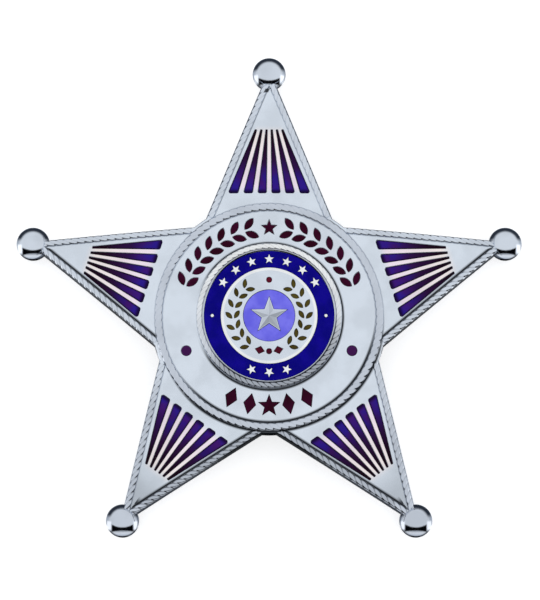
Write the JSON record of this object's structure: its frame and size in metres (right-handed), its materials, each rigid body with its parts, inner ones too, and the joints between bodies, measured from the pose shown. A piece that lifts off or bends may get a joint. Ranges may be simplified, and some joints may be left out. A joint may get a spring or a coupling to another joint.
{
  "type": "sheriff star badge",
  "caption": "Domed metal star badge with ball tips, rope borders, tapering enamel bars on its arms, a round panel with a raised centre medallion, and a pin on the back.",
  "frame": {"origin": "on the surface that the badge rests on, under the middle of its outline; it lies face up on its balls", "axes": "+Z out of the badge's face, +Y towards its top point as worn, +X to the right as seen from the front"},
  "size_m": [0.0762, 0.0726, 0.0095],
  "materials": {
    "polished_metal": "mirror-polished bright plating, a little softer on the flat fields",
    "medallion_metal": "bright plating",
    "pin_metal": "satin plating",
    "violet_enamel": "glossy translucent enamel, darker towards the narrow ends",
    "maroon_enamel": "glossy opaque enamel",
    "blue_enamel": "glossy opaque enamel",
    "sky_enamel": "glossy opaque enamel",
    "olive_enamel": "glossy opaque enamel"
  },
  "bodies": {
    "root": {"star_body": "polished_metal", "enamel_top": "violet_enamel", "enamel_upper_left": "violet_enamel", "enamel_lower_left": "violet_enamel", "enamel_lower_right": "violet_enamel", "enamel_upper_right": "violet_enamel", "band_enamel": "maroon_enamel", "medallion": "medallion_metal", "ring_enamel": "blue_enamel", "sky_enamel": "sky_enamel", "leaf_enamel": "olive_enamel", "ribbon_enamel": "maroon_enamel", "pin_back": "pin_metal"}
  },
  "joints": []
}
